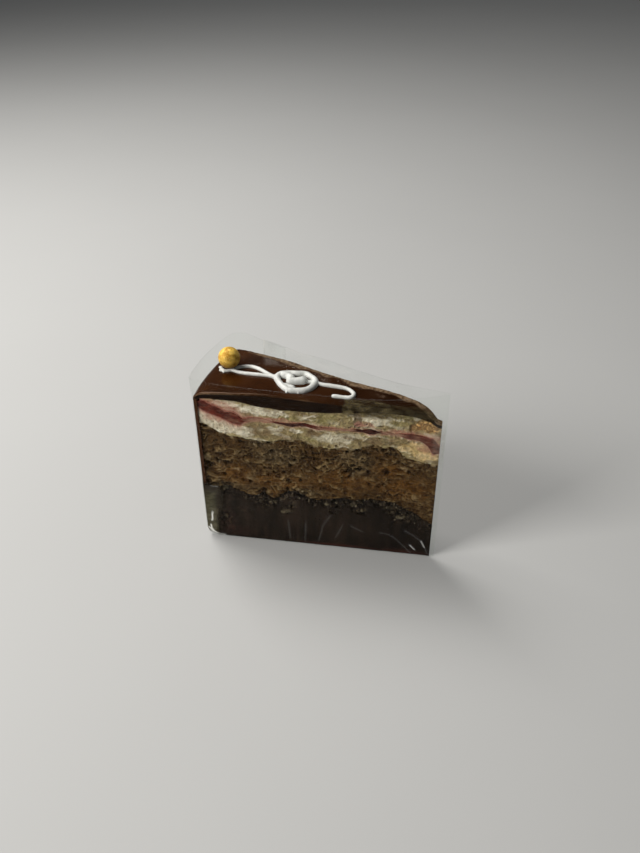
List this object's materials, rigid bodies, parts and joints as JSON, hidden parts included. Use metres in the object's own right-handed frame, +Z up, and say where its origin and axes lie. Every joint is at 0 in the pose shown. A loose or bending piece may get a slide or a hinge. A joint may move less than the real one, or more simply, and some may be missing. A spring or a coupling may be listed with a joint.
{
  "type": "chocolate cake slice",
  "caption": "Tall wedge of layered chocolate cake with cream, jam, dark glaze, piped white icing and a gold sugar pearl, wrapped round its sides in a clear film collar.",
  "frame": {"origin": "on the surface that the slice stands on, under the middle of its bounding box", "axes": "+X along the slice from its rim to its tip, +Z up"},
  "size_m": [0.102, 0.04, 0.0864],
  "materials": {
    "dark_base": "dense dark chocolate cake, moist crumb",
    "sponge": "open brown chocolate sponge crumb",
    "cream": "soft whipped cream, satin",
    "jam": "dark red jam, wet",
    "glaze": "glossy dark chocolate glaze",
    "pearl": "gold lustre sugar pearl, satin",
    "film": "clear thin plastic film"
  },
  "bodies": {
    "root": {"dark_base": "dark_base", "chocolate_sponge": "sponge", "cream_lower": "cream", "jam_layer": "jam", "cream_upper": "cream", "glaze": "glaze", "gold_pearl": "pearl", "film": "film"}
  },
  "joints": []
}
